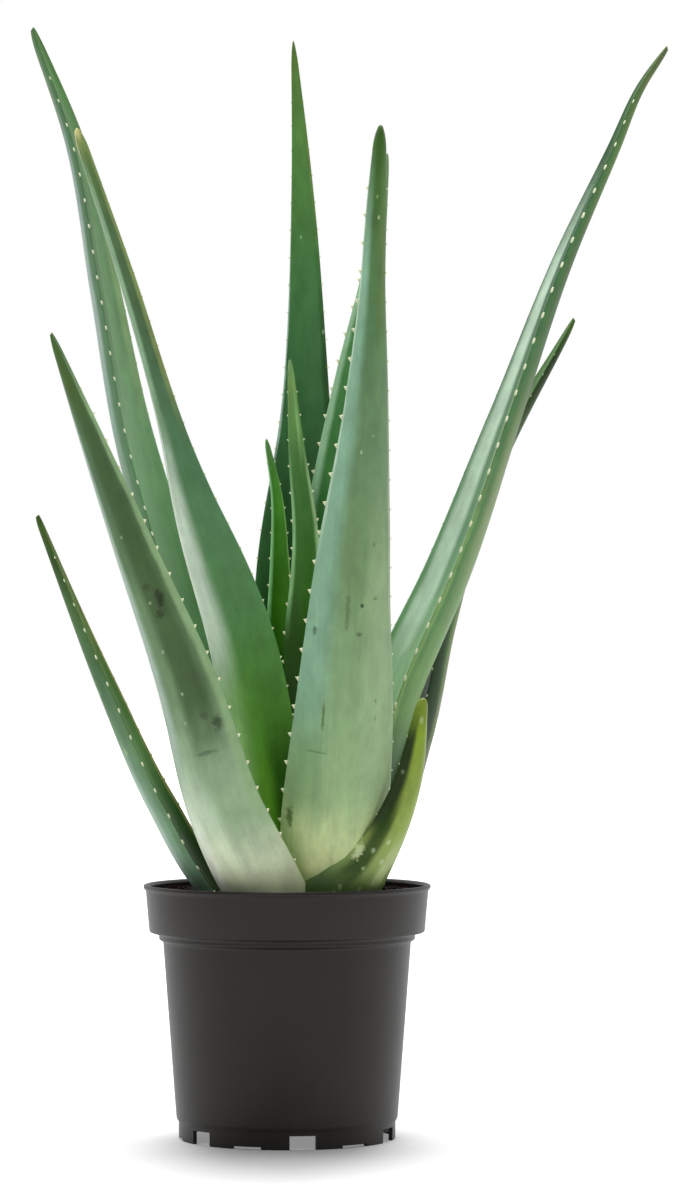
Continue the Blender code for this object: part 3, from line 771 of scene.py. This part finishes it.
blade = Blade([(-8, -2, 98), (-30, -8, 114), (-55, -14, 153), (-79, -20, 205), (-111, -28, 282)],
              (24, 25, 21, 15, 8, 2), thick=9, cup=0.2, facing=-99)
grow_leaf(
    "leaf_01", blade,
    leaf_skin("leaf_01_inner_skin",
              [(0.0, "#34431f"), (0.22, "#223a16"), (0.33, "#355c28"), (0.45, "#5a834a"),
               (0.62, "#456c2c"), (0.75, "#5a7434"), (0.9, "#5f7438"), (1.0, "#3c5418")],
              [(-0.9, 0.2, "#a09a5c", 0.75, 0.25, 0.95)]),
    leaf_skin("leaf_01_outer_skin",
              [(0.0, "#7da287"), (0.2, "#7b9f80"), (0.4, "#6f9475"), (0.5, "#608460"),
               (0.62, "#446b42"), (0.78, "#466b36"), (0.9, "#2a4d14"), (1.0, "#3f5a1a")],
              [(0.3, 0.5, "#a4bbad", 0.85, 0.0, 0.46), (1.0, 0.18, "#5d8257", 0.8, 0.2, 0.6)],
              flecks=0.3),
    teeth=(0.6, 0.9))


# --- Leaf 2 ---
# The large leaf at the front left, leaning out. Its rounded outer face shows: whitish green
# near the soil, partly its pale base and partly painted light; darker in the middle, partly
# painted shade and partly dark bruises; and painted reflections, pale along both edges.

blade = Blade([(-2, -8, 92), (-11, -29, 112), (-28, -42, 149), (-44, -56, 205), (-66, -76, 265),
               (-100, -105, 358)],
              (46, 41, 34, 24, 14, 2), thick=15, cup=0.2, facing=-32)
grow_leaf(
    "leaf_02", blade,
    leaf_skin("leaf_02_inner_skin",
              [(0.0, "#8aa35e"), (0.25, "#5d8a4e"), (0.6, "#4f7a48"), (0.85, "#5f7a48"),
               (1.0, "#687048")],
              [(0.0, 0.5, "#7fa37a", 0.4, 0.2, 0.8)]),
    leaf_skin("leaf_02_outer_skin",
              # the whitish stops near the soil are partly the base's own pale colour and partly
              # painted light
              [(0.06, "#c6d69a"), (0.12, "#dbe8bd"), (0.17, "#d9e6c2"), (0.25, "#b7ccae"),
               (0.35, "#8fa987"), (0.43, "#6d8b63"), (0.55, "#67865e"), (0.65, "#58774f"),
               (0.78, "#52704e"), (0.92, "#557350"), (1.0, "#496c3c")],
              # the pale grey-blue stripe at across -0.62 and the pale stripe on the edge at 0.98
              # are painted reflections, the near-white stripe low down is painted light, and the
              # dark stripe at 0.5 is painted shade
              [(-0.6, 0.55, "#eaf0de", 0.8, 0.08, 0.24),
               (0.6, 0.5, "#8fab82", 0.8, 0.2, 0.34),
               (-0.62, 0.5, "#a2b7a8", 0.85, 0.32, 0.88),
               (0.5, 0.48, "#405c32", 0.92, 0.36, 0.9), (0.4, 0.7, "#476322", 0.8, 0.88, 1.0),
               (0.98, 0.15, "#93b482", 0.85, 0.22, 0.94)],
              [(0.585, 0.33, 1.2, 2.0, "#8fa676", 0.8), (0.51, 0.15, 1.3, 2.0, "#9db48c", 0.8),
               (0.44, 0.28, 1.2, 1.8, "#a9bf97", 0.8), (0.395, 0.15, 1.1, 1.8, "#a9bf97", 0.7),
               (0.69, 0.2, 1.1, 2.0, "#8da274", 0.8), (0.585, 0.62, 3.0, 9.0, "#202e14", 0.95),
               (0.565, 0.48, 4.4, 4.6, "#2c3c1e", 0.8), (0.61, 0.4, 3.6, 3.0, "#344624", 0.7),
               (0.385, 0.78, 3.0, 8.0, "#34482a", 0.85), (0.4, 0.6, 3.0, 4.0, "#43583a", 0.7),
               (0.345, 0.45, 10.0, 2.2, "#50664a", 0.7), (0.37, 0.35, 1.6, 4.0, "#5c7350", 0.6)],
              blade=blade),
    teeth=(0.35, 0.7))


# --- Leaf 3 ---
# The tallest leaf, at the back left. It turns its channel to the front, with the pale outer
# face rolling round the left margin.

blade = Blade([(-6, 6, 108), (-20, 18, 153), (-49, 44, 245), (-73, 64, 325), (-86.5, 80, 392),
               (-101, 91, 462), (-123, 100, 520)],
              (34, 38, 33, 25, 16, 4), thick=12, cup=0.22, facing=-118)
grow_leaf(
    "leaf_03", blade,
    leaf_skin("leaf_03_inner_skin",
              [(0.0, "#3a6a34"), (0.34, "#3f6f38"), (0.45, "#5c8a57"), (0.55, "#6c9567"),
               (0.65, "#678f60"), (0.75, "#678f60"), (0.85, "#5a8150"), (0.93, "#4a7a3e"),
               (1.0, "#42662a")],
              [(0.78, 0.55, "#4a7044", 0.85, 0.56, 0.94), (-0.8, 0.35, "#88a674", 0.7, 0.58, 0.8),
               (-0.92, 0.2, "#6c6e4c", 0.6, 0.82, 0.9)]),
    leaf_skin("leaf_03_outer_skin",
              [(0.0, "#6f9060"), (0.42, "#587c50"), (0.55, "#80a08c"), (0.65, "#99afa2"),
               (0.76, "#9bb1a6"), (0.86, "#7f998a"), (0.95, "#66805c"), (1.0, "#5a7a48")],
              [(0.97, 0.25, "#4f7a4e", 0.9, 0.3, 1.0)]),
    teeth=(0.45, 0.8))


# --- Leaf 4 ---
# The broad inner leaf in front of leaf 3. Its channel faces the front, with a blunt tip that
# has dried yellow. Low down it is vivid yellow-green, partly its young colour and partly
# painted light shining through, and painted shade darkens its right side there. A wide painted
# highlight makes the left half whitish, and a painted highlight runs along the left margin.

blade = Blade([(-5, 0, 112), (-11, -2, 160), (-22, 4, 221), (-45, 16, 291), (-58, 25, 337),
               (-72, 34, 384), (-99, 48, 465)],
              (30, 35, 30, 13, 8.5, 5), thick=11, cup=0.35, facing=-155, twist=10)
grow_leaf(
    "leaf_04", blade,
    leaf_skin("leaf_04_inner_skin",
              # the vivid yellow-green stops low down are partly the young leaf's colour and partly
              # painted light shining through
              [(0.08, "#82bd3a"), (0.17, "#6cab38"), (0.25, "#5f9844"), (0.35, "#5d9058"),
               (0.45, "#5f8d60"), (0.55, "#56835a"), (0.65, "#537955"), (0.75, "#4f6e48"),
               (0.85, "#54744c"), (0.95, "#5c7a42"), (0.985, "#8a9c5c"), (1.0, "#dcd390")],
              # the whitish and pale grey-green stripes on the left half and the white line on the
              # left margin are painted highlights, the yellow-green stripe low down is painted
              # light shining through, and the dark green stripe low on the right is painted shade
              [(0.95, 1.0, "#b4e096", 0.95, 0.0, 0.24), (0.98, 0.95, "#dcebd9", 0.95, 0.27, 0.55),
               (0.95, 0.7, "#98bb98", 0.9, 0.6, 0.92), (-0.7, 0.65, "#2c5c06", 0.95, 0.0, 0.21),
               (-0.85, 0.4, "#8b9d60", 0.85, 0.62, 0.97),
               (1.0, 0.08, "#eef2e8", 0.8, 0.35, 0.6)]),
    leaf_skin("leaf_04_outer_skin",
              [(0.0, "#b9d98a"), (0.3, "#e2f2d9"), (0.5, "#c3d8c4"), (0.7, "#9ab39a"),
               (0.85, "#90a886"), (0.95, "#739463"), (1.0, "#c9c07c")]),
    teeth=(0.45, 0.15))


# --- Leaf 5 ---
# The large leaf at the front, standing upright. Its outer face shows, grey-green and scarred,
# and swollen to yellow-green where it clasps the stem, lightened there with painted light. A
# painted reflection makes the left edge blue-green and the lower right side pale, and painted
# shade darkens the left edge of the foot by the soil.

blade = Blade([(10, -8, 102), (19, -21, 116), (22, -34, 148), (25.5, -42, 188), (29, -48, 248),
               (36, -52, 332), (39.3, -52, 400), (42, -52, 454)],
              (46, 48, 47, 43, 37, 31, 23.5, 17, 11.5, 9, 5), thick=14, cup=0.2, facing=4)
grow_leaf(
    "leaf_05", blade,
    leaf_skin("leaf_05_inner_skin",
              [(0.0, "#7d9a4a"), (0.3, "#5b8a4c"), (0.7, "#4b7746"), (1.0, "#3f5c28")],
              [(0.0, 0.5, "#86a980", 0.4, 0.3, 0.8)]),
    leaf_skin("leaf_05_outer_skin",
              # the pale yellow-green stops at the foot are the swollen base's own colour,
              # lightened further with painted light
              [(0.02, "#9aa95c"), (0.055, "#cedc94"), (0.1, "#e2efb0"), (0.135, "#c6d99c"),
               (0.18, "#96b380"), (0.27, "#8fb07e"), (0.35, "#84a476"), (0.45, "#759566"),
               (0.58, "#6f9167"), (0.68, "#668a5f"), (0.76, "#5c8558"), (0.86, "#557c48"),
               (0.94, "#426b2a"), (1.0, "#355c14")],
              # the blue-green stripe down the left edge and the pale stripe low on the right are
              # painted reflections, and the near-white yellow stripe at the foot is painted light
              [(-0.95, 0.75, "#8cb89b", 0.85, 0.25, 0.9), (0.6, 0.4, "#9cb68a", 0.6, 0.18, 0.5),
               (0.6, 0.5, "#5f7c3c", 0.6, 0.74, 0.92), (-0.65, 0.4, "#779c6c", 0.7, 0.17, 0.26),
               (-0.45, 0.45, "#f2fdb8", 0.7, 0.05, 0.11), (-0.98, 0.07, "#c3dcc2", 0.8, 0.5, 0.92),
               (0.98, 0.07, "#b3b99f", 0.7, 0.4, 0.7)],
              [(0.6, -0.12, 1.1, 2.6, "#b9ccae", 0.8), (0.62, 0.3, 0.9, 1.4, "#a9bd9b", 0.7),
               (0.91, -0.02, 1.0, 1.8, "#a8bb72", 0.8), (0.885, 0.18, 1.2, 2.0, "#b9c98c", 0.8),
               (0.415, 0.25, 1.9, 2.8, "#263a1c", 0.9), (0.425, 0.58, 2.2, 2.2, "#66752c", 0.7),
               (0.38, 0.2, 3.0, 2.2, "#41562f", 0.75), (0.49, 0.5, 1.6, 2.4, "#55683a", 0.6),
               (0.3, 0.6, 1.6, 2.2, "#5f7a50", 0.6), (0.28, 0.6, 1.5, 2.2, "#66814f", 0.5),
               (0.38, -0.8, 1.8, 4.0, "#3f5f3c", 0.7), (0.41, -0.1, 2.4, 18.0, "#55704a", 0.6),
               (0.28, -0.45, 1.3, 14.0, "#4f6b2c", 0.75), (0.235, -0.5, 11.0, 1.0, "#5b7c4c", 0.6),
               # the long dark olive mark low on the left edge is painted shade in the crease by
               # the soil
               (0.15, -0.86, 3.0, 9.0, "#46601f", 0.8)],
              blade=blade),
    teeth=(0.85, 0.45))


# --- Leaf 6 ---
# The long leaf that leans out to the right, with its channel turned to the front left. A
# whitish painted highlight lies in the channel, and yellow teeth run down the near margin.
# Painted shade darkens the outer face low down and in a stripe higher up.

blade = Blade([(6, 2, 104), (24, 6, 130), (51, 14, 208), (74, 22, 259), (100, 30, 330),
               (127, 40, 403), (151, 46, 456), (164, 50, 485), (177, 52, 504)],
              (36, 42, 34, 21, 11, 2), thick=12, cup=0.3, facing=112)
grow_leaf(
    "leaf_06", blade,
    leaf_skin("leaf_06_inner_skin",
              [(0.0, "#7fae78"), (0.25, "#97c490"), (0.33, "#7dab7a"), (0.42, "#5f9063"),
               (0.55, "#55805a"), (0.65, "#466d4a"), (0.76, "#3b6244"), (0.86, "#3d603b"),
               (0.94, "#4a6f44"), (1.0, "#62703e")],
              # the whitish stripe in the channel is a painted highlight
              [(0.5, 0.5, "#c9e2ca", 0.95, 0.29, 0.79), (0.98, 0.2, "#6c9f6a", 0.75, 0.15, 0.45),
               (-0.95, 0.14, "#d5e2a8", 0.55, 0.2, 0.6)]),
    leaf_skin("leaf_06_outer_skin",
              # the near-black stops low down are painted shade
              [(0.0, "#122619"), (0.14, "#18321c"), (0.19, "#3f6432"), (0.24, "#658f4a"),
               (0.37, "#618a4e"), (0.5, "#5d7f4c"), (0.65, "#4c6f42"), (0.76, "#466a38"),
               (0.88, "#5a7a3c"), (1.0, "#5a6840")],
              # the dark stripe on the outer face is painted shade
              [(-1.0, 0.2, "#457a46", 0.7, 0.25, 0.9), (-0.6, 0.25, "#8d9c6c", 0.5, 0.38, 0.56),
               (-0.3, 0.3, "#2c4c26", 0.8, 0.56, 0.8),
               (-0.99, 0.08, "#8fb269", 0.5, 0.18, 0.48)]),
    teeth=(1.2, 0.35))


# --- Leaf 7 ---
# The leaf behind leaf 6, in its shade, and the shade is painted: a dark bluish green channel,
# and an outer face that is nearly black low down. Along the edge the outer face is brownish green.

blade = Blade([(6, 2, 94), (30, 8, 116), (57, 26, 181), (70, 40, 235), (91, 54, 299),
               (134, 68, 378)],
              (30, 33, 28, 21, 12, 2), thick=10, cup=0.25, facing=112)
grow_leaf(
    "leaf_07", blade,
    leaf_skin("leaf_07_inner_skin",
              # the dark stops are painted shade
              [(0.0, "#0b2a0e"), (0.4, "#103a12"), (0.62, "#28522a"), (0.78, "#3c602c"),
               (0.9, "#4f7840"), (1.0, "#587a40")]),
    leaf_skin("leaf_07_outer_skin",
              # the near-black stops low down and the near-black stripe are painted shade
              [(0.0, "#10280a"), (0.34, "#18380c"), (0.45, "#335c1e"), (0.56, "#4a7030"),
               (0.7, "#4a6a2a"), (0.85, "#243e08"), (0.93, "#183202"), (1.0, "#42661c")],
              [(-0.95, 0.32, "#0f2e0b", 0.85, 0.36, 0.56),
               (-0.5, 0.2, "#6a8040", 0.6, 0.3, 0.58)]),
    teeth=(0.5, 0.3))


# --- Leaf 8 ---
# The short, old outermost leaf at the front right. It wraps round the foot of leaf 5, yellow
# green and thinned above, with painted shade darkening its left edge, mottled dark below.

blade = Blade([(8, -14, 100), (28, -35, 113), (43, -38, 134), (54, -38, 160), (61, -38, 200)],
              (48, 36, 23, 17, 12, 5), thick=9, cup=0.25, facing=34)
grow_leaf(
    "leaf_08", blade,
    leaf_skin("leaf_08_inner_skin",
              [(0.0, "#4f6a34"), (0.4, "#6f8a44"), (0.8, "#859c4e"), (1.0, "#8fa060")]),
    leaf_skin("leaf_08_outer_skin",
              [(0.15, "#4d6a38"), (0.25, "#54713f"), (0.33, "#78934f"), (0.42, "#93a85f"),
               (0.55, "#90a64e"), (0.68, "#849a42"), (0.78, "#869c3c"), (0.88, "#83a02e"),
               (1.0, "#74882c")],
              # the two near-black stripes on the left are painted shade
              [(-0.85, 0.48, "#16290f", 0.95, 0.48, 0.92), (-0.6, 0.35, "#21400a", 0.85, 0.3, 0.6),
               (0.35, 0.35, "#c0cf94", 0.6, 0.32, 0.48), (0.95, 0.3, "#72732e", 0.8, 0.55, 0.84)],
              [(0.41, 0.03, 2.0, 2.4, "#b9c99a", 0.8), (0.36, -0.4, 1.8, 2.2, "#9fb480", 0.8),
               (0.43, -0.5, 1.8, 2.6, "#a3b788", 0.8), (0.48, -0.15, 2.0, 3.2, "#b9ca94", 0.8),
               (0.3, -0.1, 2.2, 2.6, "#a2b684", 0.8), (0.34, 0.2, 1.6, 2.4, "#b4c592", 0.8),
               (0.27, -0.55, 2.0, 2.6, "#98ae78", 0.8), (0.4, -0.85, 3.2, 10.0, "#cfe0aa", 0.8)],
              flecks=0.5, blade=blade),
    teeth=(0.3, 0.3))


# --- Leaf 9 ---
# The tall leaf at the back, behind the young ones. Its channel faces the front, deep green,
# darker where the others shade it.

blade = Blade([(0, 9, 106), (3, 26, 152), (3, 42, 245), (8, 50, 328), (8, 54, 386), (6, 58, 445),
               (2, 62, 508)],
              (28, 36, 36, 21, 11.5, 2), thick=12, cup=0.25, facing=178)
grow_leaf(
    "leaf_09", blade,
    leaf_skin("leaf_09_inner_skin",
              [(0.0, "#234c1c"), (0.3, "#2e5e2c"), (0.5, "#3a6b3c"), (0.6, "#427644"),
               (0.7, "#4a7f48"), (0.8, "#508440"), (0.9, "#5a8d44"), (1.0, "#5a7830")],
              [(0.98, 0.08, "#b4cfc0", 0.8, 0.5, 0.8), (-0.97, 0.32, "#28491f", 0.7, 0.4, 0.72),
               (-0.92, 0.25, "#7f8f50", 0.6, 0.8, 0.92)],
              [(0.77, 0.23, 1.2, 1.8, "#a3c79f", 0.8), (0.66, -0.9, 1.4, 2.6, "#a3c79f", 0.7)],
              blade=blade),
    leaf_skin("leaf_09_outer_skin",
              [(0.0, "#7a9a50"), (0.3, "#5f8a5a"), (0.8, "#4d7a48"), (1.0, "#66803f")]),
    teeth=(0.45, 0.45))


# --- Leaf 10 ---
# A young leaf in the middle, still upright, with pale margins.

blade = Blade([(3, 5, 118), (7, 12, 171), (7, 15, 226), (8, 17, 272), (4, 19, 313), (1, 20, 355)],
              (14, 17, 20, 14, 8.5, 2), thick=8, cup=0.3, facing=-165)
grow_leaf(
    "leaf_10", blade,
    leaf_skin("leaf_10_inner_skin",
              [(0.0, "#1f4204"), (0.35, "#244804"), (0.46, "#295405"), (0.56, "#3b7020"),
               (0.66, "#40752e"), (0.78, "#4a7c3c"), (0.87, "#65964f"), (0.95, "#7ca35a"),
               (1.0, "#7ca56c")],
              [(0.98, 0.35, "#9bcb90", 0.9, 0.5, 0.78), (-0.97, 0.35, "#a6ca92", 0.85, 0.6, 0.8),
               (-0.45, 0.3, "#8fc07b", 0.7, 0.82, 0.95)]),
    leaf_skin("leaf_10_outer_skin",
              [(0.0, "#9cc880"), (0.6, "#b0dda8"), (0.8, "#9cca9c"), (0.9, "#5f9060"),
               (1.0, "#508359")]),
    teeth=(0.6, 0.6))


# --- Leaf 11 ---
# The youngest leaf that has opened, vivid green, with a bright rim where light comes through.

blade = Blade([(-4, 6, 120), (-4, 16, 171), (-4, 23, 226), (-4, 27, 263), (-5, 29, 290),
               (-10, 31, 319)],
              (12, 15, 16, 12, 7, 2), thick=7, cup=0.3, facing=-165)
grow_leaf(
    "leaf_11", blade,
    leaf_skin("leaf_11_inner_skin",
              [(0.0, "#2d6404"), (0.5, "#377205"), (0.65, "#3b760a"), (0.75, "#43801e"),
               (0.85, "#50952c"), (0.93, "#4c8a34"), (1.0, "#6a985a")],
              [(0.97, 0.42, "#a6e0a2", 0.9, 0.58, 0.97),
               (-0.98, 0.2, "#a0cf7d", 0.8, 0.55, 0.95)]),
    leaf_skin("leaf_11_outer_skin",
              [(0.0, "#94c878"), (0.6, "#b2eca8"), (0.85, "#98c99a"), (1.0, "#9eb4a2")]),
    teeth=(0.6, 0.6))


# --- Leaf 12 ---
# A narrow leaf between leaf 9 and leaf 5, teal green, with teeth on its free margin.

blade = Blade([(7, 6, 114), (16, 19, 171), (18, 27, 244), (23, 31, 302), (30, 33, 346),
               (39, 35, 394), (46, 37, 452)],
              (16, 22, 27, 20, 12, 2), thick=10, cup=0.25, facing=165)
grow_leaf(
    "leaf_12", blade,
    leaf_skin("leaf_12_inner_skin",
              [(0.0, "#2c641f"), (0.5, "#356f2f"), (0.65, "#498546"), (0.76, "#538c50"),
               (0.88, "#5f8f5c"), (1.0, "#7d9c6c")],
              [(0.97, 0.4, "#a5cfa8", 0.85, 0.5, 0.9)]),
    leaf_skin("leaf_12_outer_skin",
              [(0.0, "#7fa45a"), (0.5, "#659468"), (1.0, "#7d9c6c")]),
    teeth=(0.6, 0.8))


# --- Sizes and finish ---
# The dressed plant's box is measured.

bpy.context.view_layer.update()
low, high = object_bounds()
